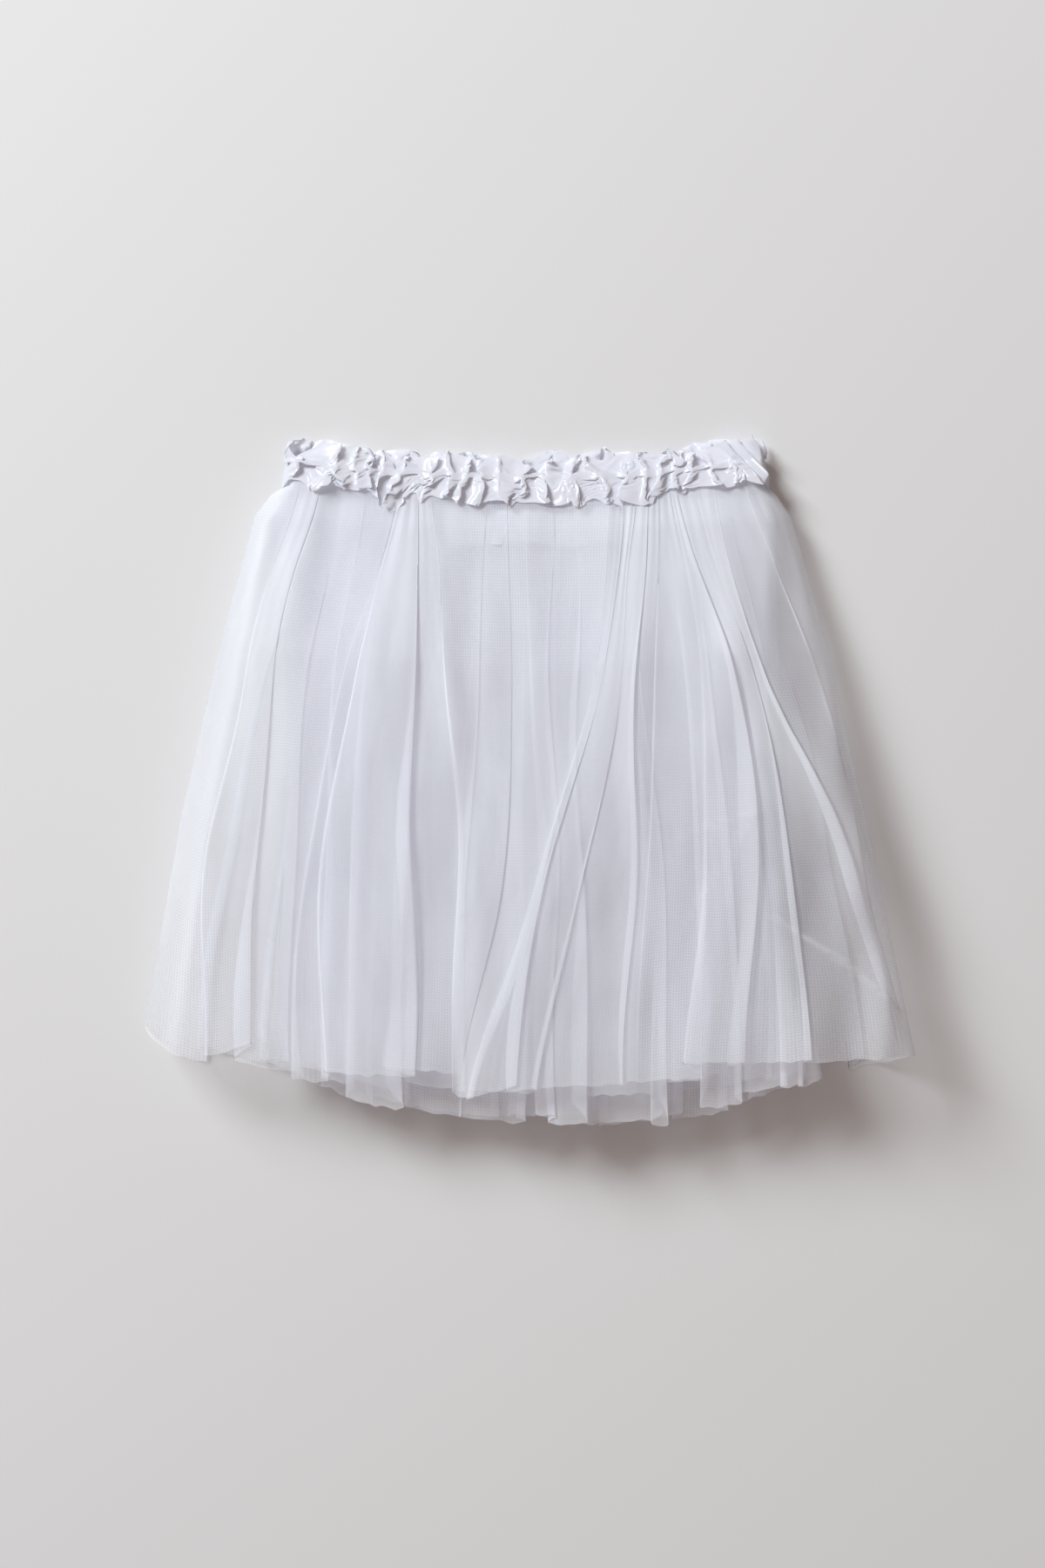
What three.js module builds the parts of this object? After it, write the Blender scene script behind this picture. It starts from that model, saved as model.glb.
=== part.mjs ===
// A tutu skirt laid flat on a surface, face up, as a tutu maker sews it.
//
// Three tubes of soft net, each longer than the one outside it, are gathered at the top and caught
// inside the lower frill of one ruched satin waistband. Lying down, every tube is flattened: its
// front half lies above its back half, and its folds fan out from the waist to the hem.
// A short loose end of the waistband's satin hangs between the outer and the middle net.
//
// Millimetres. +X is the wearer's left, +Y runs from hem to waist, +Z is up, and the surface is z = 0.
import * as THREE from "three";

// ---- Driving sizes ----
const NET_WALL = 1.0;
const SATIN_WALL = 1.6;
const PRESSED = 0.4; // the height of a wall's middle where the cloth is pressed on the surface
const SEAM_GAP = 0.3; // between a front and its back
const SEAM_Y = 166; // where the gathered tops of the net end, inside the waistband
const SEAM_END_RISE = 6; // the waist line bows down in the middle by this
const SIDE_ROUNDNESS = 1.1; // how far in a wall reaches its height at the side seam, per mm of height

// Each tube of net: how much narrower it is than the outer one at the waist, and at the hem on the
// wearer's right and left, and where its hem lies at those two sides, in the middle of the front and
// in the middle of the back.
const NETS = [
  {
    name: "net_outer",
    waistInset: 0,
    hemInset: { right: 0, left: 0 },
    sideHem: { right: -142, left: -160 },
    frontHem: -171,
    backHem: -181,
  },
  {
    name: "net_middle",
    waistInset: 2.2,
    hemInset: { right: 66, left: 50 },
    sideHem: { right: -164, left: -172 },
    frontHem: -187,
    backHem: -190,
  },
  {
    name: "net_under",
    waistInset: 4.4,
    hemInset: { right: 76, left: 58 },
    sideHem: { right: -166, left: -174 },
    frontHem: -199,
    backHem: -201,
  },
];

// Down the skirt, from the waist at 0 to the hem at 1: how far the outer net reaches to each side,
// the height of the side seams, and where the middle of each wall lies, low in a valley of its folds
// and high on a crest. The six walls keep their order, each clear of the next. A low below the
// surface presses that net's folds flat on it.
const STATIONS = [
  {
    down: 0,
    right: -141,
    left: 137,
    side: 8.1,
    back: { net_outer: [3.0, 3.1], net_middle: [4.9, 5.0], net_under: [6.8, 6.9] },
    front: { net_under: [9.3, 9.4], net_middle: [11.4, 11.5], net_outer: [14.2, 14.3] },
  },
  {
    down: 0.014,
    right: -142,
    left: 138,
    side: 8.1,
    back: { net_outer: [2.9, 3.1], net_middle: [4.9, 5.0], net_under: [6.8, 6.9] },
    front: { net_under: [9.3, 9.5], net_middle: [11.4, 11.6], net_outer: [14.4, 14.6] },
  },
  {
    down: 0.03,
    right: -155,
    left: 148,
    side: 8.2,
    back: { net_outer: [2.8, 3.1], net_middle: [4.8, 5.0], net_under: [6.8, 7.0] },
    front: { net_under: [9.4, 9.7], net_middle: [11.5, 11.8], net_outer: [14.7, 15.1] },
  },
  {
    down: 0.07,
    right: -164,
    left: 157,
    side: 9.6,
    back: { net_outer: [-0.6, 2.4], net_middle: [4.0, 5.4], net_under: [7.0, 8.2] },
    front: { net_under: [11.0, 12.4], net_middle: [14.0, 15.8], net_outer: [18.8, 21.6] },
  },
  {
    down: 0.3,
    right: -180,
    left: 175,
    side: 15,
    back: { net_outer: [-1.5, 4.4], net_middle: [6.0, 9.4], net_under: [11.0, 13.6] },
    front: { net_under: [16.4, 20.0], net_middle: [21.8, 27.0], net_outer: [29.0, 37.4] },
  },
  {
    down: 0.62,
    right: -203,
    left: 199,
    side: 20.4,
    back: { net_outer: [-2.4, 6.6], net_middle: [8.2, 13.4], net_under: [15.0, 19.0] },
    front: { net_under: [21.8, 27.4], net_middle: [29.2, 36.4], net_outer: [38.4, 49.4] },
  },
  {
    down: 1,
    right: -224,
    left: 224,
    side: 25,
    back: { net_outer: [-3.0, 8.0], net_middle: [9.8, 16.2], net_under: [18.0, 23.4] },
    front: { net_under: [26.6, 33.8], net_middle: [35.6, 44.0], net_outer: [46.0, 58.4] },
  },
];

// The folds of each net's front, from the wearer's right to left. waist and hem are where the fold
// ends across the skirt, rise is its height as a share of the room, lean moves its crest sideways,
// so that it laps over its neighbour, and drop lowers its piece of the hem.
const FRONT_FOLDS = {
  net_outer: [
    { waist: -132, hem: -192, rise: 0.75, lean: 0, drop: -2 },
    { waist: -118, hem: -158, rise: 1.0, lean: 9, drop: -10 },
    { waist: -84, hem: -133, rise: 0.3, lean: 0, drop: -2 },
    { waist: -73, hem: -96, rise: 1.0, lean: -10, drop: 6 },
    { waist: -63, hem: -62, rise: 0.9, lean: 9, drop: -1 },
    { waist: -51, hem: -46, rise: 0.25, lean: 0, drop: -4 },
    { waist: -24, hem: -5, rise: 1.0, lean: -8, drop: 15 },
    { waist: 1, hem: 18, rise: 0.6, lean: 5, drop: 7 },
    { waist: 34, hem: 50, rise: 0.85, lean: -6, drop: 8 },
    { waist: 64, hem: 85, rise: 0.5, lean: 0, drop: 5 },
    { waist: 80, hem: 130, rise: 1.0, lean: 12, drop: -3 },
    { waist: 101, hem: 163, rise: 0.45, lean: 0, drop: -1 },
    { waist: 119, hem: 194, rise: 0.8, lean: 8, drop: -3 },
    { waist: 137, hem: 224, rise: 0.6, lean: 0, drop: 0 },
  ],
  net_middle: [
    { waist: -119, hem: -137, rise: 0.8, lean: 4, drop: -2 },
    { waist: -98, hem: -121, rise: 0.5, lean: 0, drop: -3 },
    { waist: -82, hem: -104, rise: 1.0, lean: -6, drop: 8 },
    { waist: -58, hem: -66, rise: 0.9, lean: 6, drop: 9 },
    { waist: -36, hem: -34, rise: 0.4, lean: 0, drop: -7 },
    { waist: -6, hem: 4, rise: 1.0, lean: 7, drop: -4 },
    { waist: 26, hem: 40, rise: 0.7, lean: -6, drop: 8 },
    { waist: 53, hem: 84, rise: 1.0, lean: 6, drop: 8 },
    { waist: 78, hem: 114, rise: 0.5, lean: 0, drop: -4 },
    { waist: 103, hem: 145, rise: 1.0, lean: -6, drop: 6 },
    { waist: 134.8, hem: 174, rise: 0.7, lean: 0, drop: 3 },
  ],
  net_under: [
    { waist: -114, hem: -130, rise: 0.7, lean: -4, drop: -6 },
    { waist: -90, hem: -108, rise: 1.0, lean: 6, drop: -6 },
    { waist: -60, hem: -72, rise: 0.6, lean: 0, drop: 0 },
    { waist: -30, hem: -40, rise: 1.0, lean: -6, drop: 2 },
    { waist: -6, hem: 0, rise: 0.8, lean: 5, drop: 2 },
    { waist: 14, hem: 18, rise: 1.0, lean: -3, drop: -3 },
    { waist: 46, hem: 83, rise: 0.7, lean: 6, drop: 3 },
    { waist: 74, hem: 112, rise: 1.0, lean: -5, drop: -10 },
    { waist: 102, hem: 143, rise: 0.6, lean: 4, drop: -4 },
    { waist: 132.6, hem: 166, rise: 0.8, lean: 0, drop: -2 },
  ],
};
const BACK_FOLD_COUNTS = { net_outer: 11, net_middle: 10, net_under: 10 };
const BACK_FOLD_LEAN = 6;
const BACK_FOLD_DROP = 4;

// One fold across: where its points lie between two valleys, and how high each stands.
const FOLD_SHAPE = [
  { across: 0.0, height: 0 },
  { across: 0.2, height: 0.55 },
  { across: 0.38, height: 1 },
  { across: 0.62, height: 1 },
  { across: 0.8, height: 0.5 },
  { across: 0.92, height: 0 },
];

// The waistband, from its lower frill to its upper one: where each row lies at the middle of the
// front, how far out its ends reach, and the room of its ruffles in the front and in the back wall.
const BAND_CENTRE_X = -2;
const BAND_ROWS = [
  { y: 158, halfWidth: 143.4, side: 9.2, front: [17.6, 25.0], back: [0.8, 0.9], shift: 0 },
  { y: 168, halfWidth: 142.6, side: 8.4, front: [16.2, 21.0], back: [0.8, 0.9], shift: 1.5 },
  { y: 179, halfWidth: 140.0, side: 6.6, front: [9.5, 14.5], back: [0.8, 3.4], shift: -1.5 },
  { y: 189, halfWidth: 135.5, side: 6.7, front: [8.2, 17.0], back: [0.8, 5.2], shift: 2 },
];
const BAND_RUFFLES = { front: 23, back: 19 };
const BAND_END_RISE = 10.5;
const BAND_BACK_RAISE = 3; // the back of the upper frill shows above the front by this
const BAND_EDGE_WAVE = 2.2; // how unevenly the two frills end
const RUFFLE_LEAN = 2.4;
const RUFFLE_SHAPE = [
  { across: 0.0, height: 0 },
  { across: 0.24, height: 0.7 },
  { across: 0.46, height: 1 },
  { across: 0.68, height: 0.6 },
  { across: 0.86, height: 0 },
];

// The loose end of satin under the outer net.
const TAIL = { x: -15, topY: 157, length: 20, topWidth: 10, tipWidth: 6.4, slant: -4, wall: 1.0, rows: 4 };

const SATIN = new THREE.MeshStandardMaterial({ color: 0xf3f3fa, roughness: 0.32, metalness: 0 });
const NET = new THREE.MeshStandardMaterial({ color: 0xe9eaf4, roughness: 0.75, metalness: 0 });

const lerp = THREE.MathUtils.lerp;
const clamp = THREE.MathUtils.clamp;

// A repeatable number from -1 to 1 for the nth thing of a row, so that no two folds are alike.
const uneven = (n, seed) => Math.sin(n * 2.399 + seed * 1.7) * 0.6 + Math.sin(n * 1.13 + seed) * 0.4;

// How far a point still stands from the side seam, where front and back meet: 1 over the middle
// of a flattened tube, and down a quarter ellipse to 0 at its side. share runs from -1 to 1 over
// the tube's width, and height is how far the wall stands from the side seam.
function standing(share, halfWidth, height) {
  const rounding = (SIDE_ROUNDNESS * height) / halfWidth;
  const round = clamp((Math.abs(share) - (1 - rounding)) / rounding, 0, 1);
  return Math.sqrt(1 - round * round);
}

// The waist line bows: its ends lie nearer the top of the skirt than its middle does.
const bow = (across, rise) => rise * across * across;

// The height of the seam's end of a half: half the gap above or below the seam itself.
const seamHeight = (side, half) => side + (half === "front" ? SEAM_GAP / 2 : -SEAM_GAP / 2);

// What one half of a net has at a share of the way down: its reach, its side and its room.
function sizesAt(down, net, half) {
  const next = Math.max(1, STATIONS.findIndex((station) => station.down >= down));
  const [a, b] = [STATIONS[next - 1], STATIONS[next]];
  const t = (down - a.down) / (b.down - a.down);
  const right = lerp(a.right, b.right, t) + lerp(net.waistInset, net.hemInset.right, down);
  const left = lerp(a.left, b.left, t) - lerp(net.waistInset, net.hemInset.left, down);
  return {
    centre: (right + left) / 2,
    halfWidth: (left - right) / 2,
    side: lerp(a.side, b.side, t),
    low: lerp(a[half][net.name][0], b[half][net.name][0], t),
    high: lerp(a[half][net.name][1], b[half][net.name][1], t),
  };
}

// Folds as shares of the half width, from -1 to 1, each with both its ends.
function frontFolds(net) {
  const waist = sizesAt(0, net, "front");
  const hem = sizesAt(1, net, "front");
  const ends = FRONT_FOLDS[net.name].map((fold) => ({
    ...fold,
    waist: (fold.waist - waist.centre) / waist.halfWidth,
    hem: (fold.hem - hem.centre) / hem.halfWidth,
  }));
  return ends.map((fold, i) => ({
    ...fold,
    waistFrom: i ? ends[i - 1].waist : -1,
    hemFrom: i ? ends[i - 1].hem : -1,
  }));
}

// The back's folds are as uneven as the front's. They too run from the wearer's right to left.
function backFolds(net, seed) {
  const count = BACK_FOLD_COUNTS[net.name];
  const endOf = (i) => -1 + (2 * (i + (i > 0 && i < count ? 0.22 * uneven(i, seed) : 0))) / count;
  const folds = [];
  for (let i = 1; i <= count; i++) {
    folds.push({
      waist: endOf(i),
      waistFrom: endOf(i - 1),
      hem: endOf(i),
      hemFrom: endOf(i - 1),
      rise: 0.8 + 0.2 * uneven(i, seed + 1),
      lean: BACK_FOLD_LEAN * uneven(i, seed + 2),
      drop: i === 1 || i === count ? 0 : BACK_FOLD_DROP * uneven(i, seed + 3),
    });
  }
  return folds;
}

// One row of a half of a net, from side seam to side seam, at a share of the way down.
function netRow(net, half, folds, down) {
  const { centre, halfWidth, side, low, high } = sizesAt(down, net, half);
  const middleHem = half === "front" ? net.frontHem : net.backHem;
  const height = Math.abs((low + high) / 2 - side);
  const pointAt = (fold, step) => {
    const waistShare = lerp(fold.waistFrom, fold.waist, step.across);
    const hemShare = lerp(fold.hemFrom, fold.hem, step.across);
    const share = lerp(waistShare, hemShare, down);
    const stands = standing(share, halfWidth, height);
    const crest = step.height * fold.rise;
    const wall = half === "front" ? lerp(low, high, crest) : lerp(high, low, crest);
    const seamY = SEAM_Y + bow(share, SEAM_END_RISE);
    const sideHem = share < 0 ? net.sideHem.right : net.sideHem.left;
    const hemY = lerp(sideHem, middleHem, 1 - share * share) - fold.drop * step.height * stands;
    return [
      centre + share * halfWidth + fold.lean * step.height * stands * down,
      lerp(seamY, hemY, down),
      Math.max(PRESSED, lerp(seamHeight(side, half), wall, stands)),
    ];
  };
  const points = folds.flatMap((fold) => FOLD_SHAPE.map((step) => pointAt(fold, step)));
  return [...points, pointAt(folds.at(-1), { across: 1, height: 0 })];
}

// A wall through rows of points, listed from the waist down, each from the wearer's right to left.
// It stands half its thickness to each side of them in the row's own upright plane, its two ends
// are cut level at the side seams, and nothing reaches below the surface.
function wallThroughRows(rows, wall) {
  const columns = rows[0].length;
  const vertices = [];
  for (const sign of [1, -1]) {
    for (const row of rows) {
      row.forEach(([x, y, z], j) => {
        const before = row[j - 1];
        const after = row[j + 1];
        const rightEnd = [0, after ? Math.sign(after[2] - z) : 0];
        const leftEnd = [0, before ? Math.sign(z - before[2]) : 0];
        const [dx, dz] = !before ? rightEnd : !after ? leftEnd : [after[0] - before[0], after[2] - before[2]];
        const offset = (sign * wall) / 2 / Math.hypot(dx, dz);
        vertices.push(x - dz * offset, y, Math.max(0, z + dx * offset));
      });
    }
  }
  const upper = (i, j) => i * columns + j;
  const lower = (i, j) => rows.length * columns + upper(i, j);
  const triangles = [];
  const quad = (a, b, c, d) => triangles.push(a, b, c, a, c, d);
  for (let i = 0; i + 1 < rows.length; i++) {
    for (let j = 0; j + 1 < columns; j++) {
      quad(upper(i, j), upper(i + 1, j), upper(i + 1, j + 1), upper(i, j + 1));
      quad(lower(i, j), lower(i, j + 1), lower(i + 1, j + 1), lower(i + 1, j));
    }
    const last = columns - 1;
    quad(upper(i, 0), lower(i, 0), lower(i + 1, 0), upper(i + 1, 0));
    quad(upper(i, last), upper(i + 1, last), lower(i + 1, last), lower(i, last));
  }
  const bottom = rows.length - 1;
  for (let j = 0; j + 1 < columns; j++) {
    quad(upper(0, j), upper(0, j + 1), lower(0, j + 1), lower(0, j));
    quad(upper(bottom, j), lower(bottom, j), lower(bottom, j + 1), upper(bottom, j + 1));
  }
  return meshGeometry(vertices, triangles);
}

function meshGeometry(vertices, triangles) {
  const geometry = new THREE.BufferGeometry();
  geometry.setAttribute("position", new THREE.Float32BufferAttribute(vertices, 3));
  geometry.setIndex(triangles);
  geometry.computeVertexNormals();
  return geometry;
}

function namedMesh(name, geometry, material) {
  const mesh = new THREE.Mesh(geometry, material.clone());
  mesh.name = name;
  return mesh;
}

function makeNetHalf(net, half, seed) {
  const folds = half === "front" ? frontFolds(net) : backFolds(net, seed);
  const rows = STATIONS.map(({ down }) => netRow(net, half, folds, down));
  return namedMesh(`${net.name}_${half}`, wallThroughRows(rows, NET_WALL), NET);
}

// One row of a half of the waistband: ruffles side by side, each of its own height and lean.
function bandRow(rowIndex, half) {
  const row = BAND_ROWS[rowIndex];
  const count = BAND_RUFFLES[half];
  const seed = half === "front" ? 4 : 9;
  const [low, high] = row[half];
  const up = rowIndex / (BAND_ROWS.length - 1);
  const edge = up === 0 ? -1 : up === 1 ? 1 : 0;
  const height = Math.abs((low + high) / 2 - row.side);
  const pointAt = (i, step) => {
    const share = -1 + (2 * (i + step.across)) / count;
    const stands = standing(share, row.halfWidth, height);
    const crest = step.height * (0.75 + 0.25 * uneven(i + rowIndex, seed));
    const lean = row.shift + RUFFLE_LEAN * uneven(i, seed + 2);
    const wave = edge * BAND_EDGE_WAVE * uneven(i + edge, seed + 5);
    const raise = half === "back" ? BAND_BACK_RAISE * up : 0;
    return [
      BAND_CENTRE_X + share * row.halfWidth + lean * step.height * stands,
      row.y + bow(share, BAND_END_RISE) + (raise + wave * step.height) * stands,
      lerp(seamHeight(row.side, half), half === "front" ? lerp(low, high, crest) : lerp(high, low, crest), stands),
    ];
  };
  const points = [];
  for (let i = 0; i < count; i++) points.push(...RUFFLE_SHAPE.map((step) => pointAt(i, step)));
  return [...points, pointAt(count - 1, { across: 1, height: 0 })];
}

function makeWaistbandHalf(half) {
  const rows = BAND_ROWS.map((row, i) => bandRow(i, half)).reverse();
  return namedMesh(`waistband_${half}`, wallThroughRows(rows, SATIN_WALL), SATIN);
}

// A flat strip between the outer and the middle net, as a closed box that rises with them.
function makeTail() {
  const vertices = [];
  const triangles = [];
  const [outer, middle] = NETS;
  for (let i = 0; i < TAIL.rows; i++) {
    const t = i / (TAIL.rows - 1);
    const y = TAIL.topY - t * TAIL.length;
    const outerLow = sizesAt((SEAM_Y - y) / (SEAM_Y - outer.frontHem), outer, "front").low;
    const middleHigh = sizesAt((SEAM_Y - y) / (SEAM_Y - middle.frontHem), middle, "front").high;
    const z = (outerLow + middleHigh) / 2;
    const halfWidth = lerp(TAIL.topWidth, TAIL.tipWidth, t) / 2;
    const x = TAIL.x + TAIL.slant * t;
    for (const [side, up] of [[-1, -1], [1, -1], [1, 1], [-1, 1]]) {
      vertices.push(x + side * halfWidth, y, z + (up * TAIL.wall) / 2);
    }
  }
  const quad = (a, b, c, d) => triangles.push(a, b, c, a, c, d);
  for (let i = 0; i + 1 < TAIL.rows; i++) {
    for (let k = 0; k < 4; k++) {
      const next = (k + 1) % 4;
      quad(4 * i + k, 4 * i + next, 4 * i + 4 + next, 4 * i + 4 + k);
    }
  }
  const last = 4 * (TAIL.rows - 1);
  quad(3, 2, 1, 0);
  quad(last, last + 1, last + 2, last + 3);
  return namedMesh("satin_tail", meshGeometry(vertices, triangles), SATIN);
}

const HALVES = ["front", "back"];
const skirt = new THREE.Group();
skirt.name = "tutu_skirt";
NETS.forEach((net, index) => HALVES.forEach((half) => skirt.add(makeNetHalf(net, half, index + 1))));
HALVES.forEach((half) => skirt.add(makeWaistbandHalf(half)));
skirt.add(makeTail());

export default skirt;
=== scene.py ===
"""A white tutu skirt laid flat, face up: three tubes of soft net gathered into a ruched satin waistband.

Lengths in the tables are millimetres, turned to metres where the meshes are made. +X is the wearer's
left, +Y runs from the hem to the waist and +Z is up from the surface that the skirt lies on.
"""
import math
from collections import namedtuple

import bpy
import numpy as np
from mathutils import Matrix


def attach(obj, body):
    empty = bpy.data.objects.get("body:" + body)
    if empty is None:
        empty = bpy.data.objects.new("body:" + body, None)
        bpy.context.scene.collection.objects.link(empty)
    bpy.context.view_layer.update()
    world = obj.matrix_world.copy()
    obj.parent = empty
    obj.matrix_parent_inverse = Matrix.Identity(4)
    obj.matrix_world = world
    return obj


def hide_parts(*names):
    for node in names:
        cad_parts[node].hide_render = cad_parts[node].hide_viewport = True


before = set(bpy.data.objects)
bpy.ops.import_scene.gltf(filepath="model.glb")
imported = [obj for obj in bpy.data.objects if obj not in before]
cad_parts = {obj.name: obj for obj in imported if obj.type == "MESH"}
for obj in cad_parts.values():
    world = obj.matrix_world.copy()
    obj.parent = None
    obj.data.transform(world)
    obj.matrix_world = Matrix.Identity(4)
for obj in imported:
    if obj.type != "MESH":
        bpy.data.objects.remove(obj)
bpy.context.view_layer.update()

MM = 0.001

# ---- The skirt's own sizes, close to its solids' ----
SEAM_Y = 171.0  # the gathered tops of the net, in the middle of the front
SEAM_END_RISE = 6.0
SIDE_ROUNDNESS = 1.1
PRESSED = 0.4  # the height of a net's middle where it is pressed on the surface

Station = namedtuple(
    "Station",
    "down right left side outer_back middle_back under_back under_front middle_front outer_front",
)
# Down the skirt from waist to hem: how far the outer net reaches to each side, the height of the side
# seams, and the room of each wall, low in a valley and high on a crest.
STATIONS = [
    Station(
        0.0, -141, 137, 8.1,
        (3.0, 3.1), (4.9, 5.0), (6.8, 6.9), (9.3, 9.4), (11.4, 11.5), (14.2, 14.3),
    ),
    Station(
        0.014, -142, 138, 8.1,
        (2.9, 3.1), (4.9, 5.0), (6.8, 6.9), (9.3, 9.5), (11.4, 11.6), (14.4, 14.6),
    ),
    Station(
        0.03, -151, 145, 8.2,
        (2.8, 3.1), (4.8, 5.0), (6.8, 7.0), (9.4, 9.8), (11.8, 12.2), (15.4, 16.2),
    ),
    Station(
        0.07, -161, 154, 9.6,
        (-0.6, 2.4), (4.0, 5.4), (7.0, 8.2), (11.4, 13.0), (15.0, 17.0), (20.6, 24.6),
    ),
    Station(
        0.3, -180, 175, 15,
        (-1.5, 4.4), (6.0, 9.4), (11.0, 13.6), (17.6, 22.0), (24.6, 31.0), (34.0, 44.0),
    ),
    Station(
        0.62, -203, 199, 20.4,
        (-2.4, 6.6), (8.2, 13.4), (15.0, 19.0), (22.8, 29.4), (32.0, 40.0), (42.6, 54.0),
    ),
    Station(
        1.0, -224, 224, 25,
        (-3.0, 8.0), (9.8, 16.2), (18.0, 23.4), (26.6, 33.8), (35.6, 44.0), (46.0, 58.4),
    ),
]

# One pleat is a line down the net where it laps over itself. over is 1 where the cloth on the wearer's
# right lies on top and -1 where the cloth on the left does. Then come the pleat's place and its lap at
# the waist, a third and two thirds of the way down and at the hem, its rise, from 0 to 1 of the room,
# and how much lower than the plain hem the panel after it begins and ends.
Pleat = namedtuple(
    "Pleat",
    "over waist upper lower hem lap_waist lap_upper lap_lower lap_hem rise drop end_drop",
)
OUTER_FRONT = [
    Pleat(-1, -134, -166, -186, -190, 0, 2, 3, 3, 0.5, 10, -4),
    Pleat(1, -122, -147, -155, -160, 0, 1, 6, 13, 0.7, 9, 9),
    Pleat(-1, -76, -108, -132, -138, 0, 1, 4, 11, 0.6, 13, 12),
    Pleat(-1, -74, -103, -121, -119, 0, 2, 4, 5, 0.5, 6, 3),
    Pleat(1, -65, -64, -63.5, -63, 0, 8, 16, 20, 1.0, -1, 0),
    Pleat(-1, -58, -47, -42.5, -48, 0, 3, 7, 9, 0.7, 10, 13),
    Pleat(1, -13, -11, -14, -43, 1, 2, 1, 0, 0.5, 13, 14),
    Pleat(-1, 48, 35, 3.5, -39, 0, 0, 5, 10, 0.8, 15, 4),
    Pleat(1, 56, 43, 9, -6, 0, 0, 3, 12, 0.6, 9, 8),
    Pleat(1, 63, 52, 31, 5, 0, 0, 3, 6, 0.6, 7, 5),
    Pleat(1, 70, 62, 63, 57, 0, 6, 6, 5, 0.8, 5, 4),
    Pleat(-1, 76, 73, 66, 62, 0, 3, 1, 0, 0.6, 4, 3),
    Pleat(-1, 82, 100, 99, 85, 0, 0, 5, 16, 0.8, -6, -5),
    Pleat(1, 86, 120, 134.5, 128.5, 2, 10, 16, 14, 1.0, -3, -4),
    Pleat(1, 96, 128, 153, 163.5, 0, 2, 5, 10, 0.7, -2, -2),
    Pleat(1, 108, 136.6, 188, 217, 1, 5, 10, 6, 0.8, -1, -1),
    Pleat(1, 126, 170, 191, 221, 2, 4, 2, 0, 0.4, 0, 0),
]
MIDDLE_FRONT = [
    Pleat(1, -110, -128, -135, -137, 4, 7, 9, 8, 0.8, -4, -2),
    Pleat(-1, -96, -114, -121, -122, 2, 4, 8, 10, 0.7, 0, 2),
    Pleat(-1, -84, -98, -106, -109, 3, 6, 8, 8, 0.9, 10, 11),
    Pleat(1, -58, -66, -70, -69, 4, 8, 12, 14, 1.0, -6, -4),
    Pleat(1, -24, -30, -34, -36, 4, 6, 7, 7, 0.6, -5, -5),
    Pleat(-1, -2, 0, 2, 4, 3, 6, 9, 10, 0.8, 8, 8),
    Pleat(1, 14, 15, 16, 17, 3, 5, 6, 6, 0.6, 13, 13),
    Pleat(1, 26, 30, 34, 35, 4, 8, 12, 14, 1.0, -3, -3),
    Pleat(-1, 52, 60, 68, 71, 3, 5, 7, 7, 0.7, 15, 17),
    Pleat(1, 60, 68, 78, 83, 3, 6, 9, 9, 0.9, -8, -8),
    Pleat(-1, 80, 90, 95, 97, 3, 6, 8, 9, 0.8, 8, 9),
    Pleat(1, 92, 108, 120, 124, 4, 6, 8, 9, 0.7, 3, 1),
    Pleat(-1, 104, 124, 138, 144, 3, 5, 7, 8, 0.8, 2, 3),
    Pleat(1, 116, 138, 154, 160, 4, 5, 6, 6, 0.9, 4, 4),
]
UNDER_FRONT = [
    Pleat(1, -106, -122, -130, -132, 4, 6, 8, 8, 0.8, -8, -8),
    Pleat(-1, -86, -98, -106, -110, 3, 5, 7, 8, 0.8, -8, -6),
    Pleat(-1, -62, -68, -72, -74, 4, 7, 9, 8, 0.9, 1, 1),
    Pleat(1, -30, -34, -37, -38, 3, 4, 4, 4, 0.5, 1, 1),
    Pleat(1, -4, -2, -1, -1, 3, 6, 8, 9, 0.9, -3, -2),
    Pleat(-1, 10, 12, 13, 15, 3, 4, 6, 7, 0.7, 2, 3),
    Pleat(1, 44, 58, 74, 82, 4, 6, 9, 9, 0.9, -18, -16),
    Pleat(-1, 76, 92, 104, 110, 3, 5, 7, 8, 0.8, -10, -8),
    Pleat(1, 104, 124, 138, 142, 4, 6, 8, 9, 0.8, -6, -5),
]

# Each net: how much narrower than the outer net it is at the waist and on each side at the hem, where
# its hem lies at its two sides and in the middle of each half, its front's pleats, how many its back
# has, how much lower than the plain hem its first panel begins and ends, and how many flat layers of
# net it counts as at its hem.
Net = namedtuple(
    "Net",
    "name waist_inset right_inset left_inset right_hem left_hem front_hem back_hem"
    " front_pleats back_count first_drop first_end hem_thickness",
)
NETS = [
    Net("outer", 0.0, 0.0, 0.0, -142, -160, -171, -181, OUTER_FRONT, 12, 14, 13, 0.93),
    Net("middle", 2.2, 70.0, 54.0, -164, -172, -187, -190, MIDDLE_FRONT, 11, -4, -4, 1.35),
    Net("under", 4.4, 78.0, 62.0, -166, -174, -199, -201, UNDER_FRONT, 10, -8, -8, 1.2),
]
INSET_EASE = 2.0  # how soon the narrower nets leave the outer one's sides
NET_ROWS = 120
ROW_EASE = 1.15  # how much closer the rows are near the waist
PANEL_STEP = 2.0  # mm between columns on a panel
LAP_COLUMNS = 6
SIDE_COLUMNS = 10  # more columns on the two panels that turn round the sides
CUT_SPREAD = 560.0  # about how wide the gathered cloth is, for the fine gathers' waves

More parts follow.
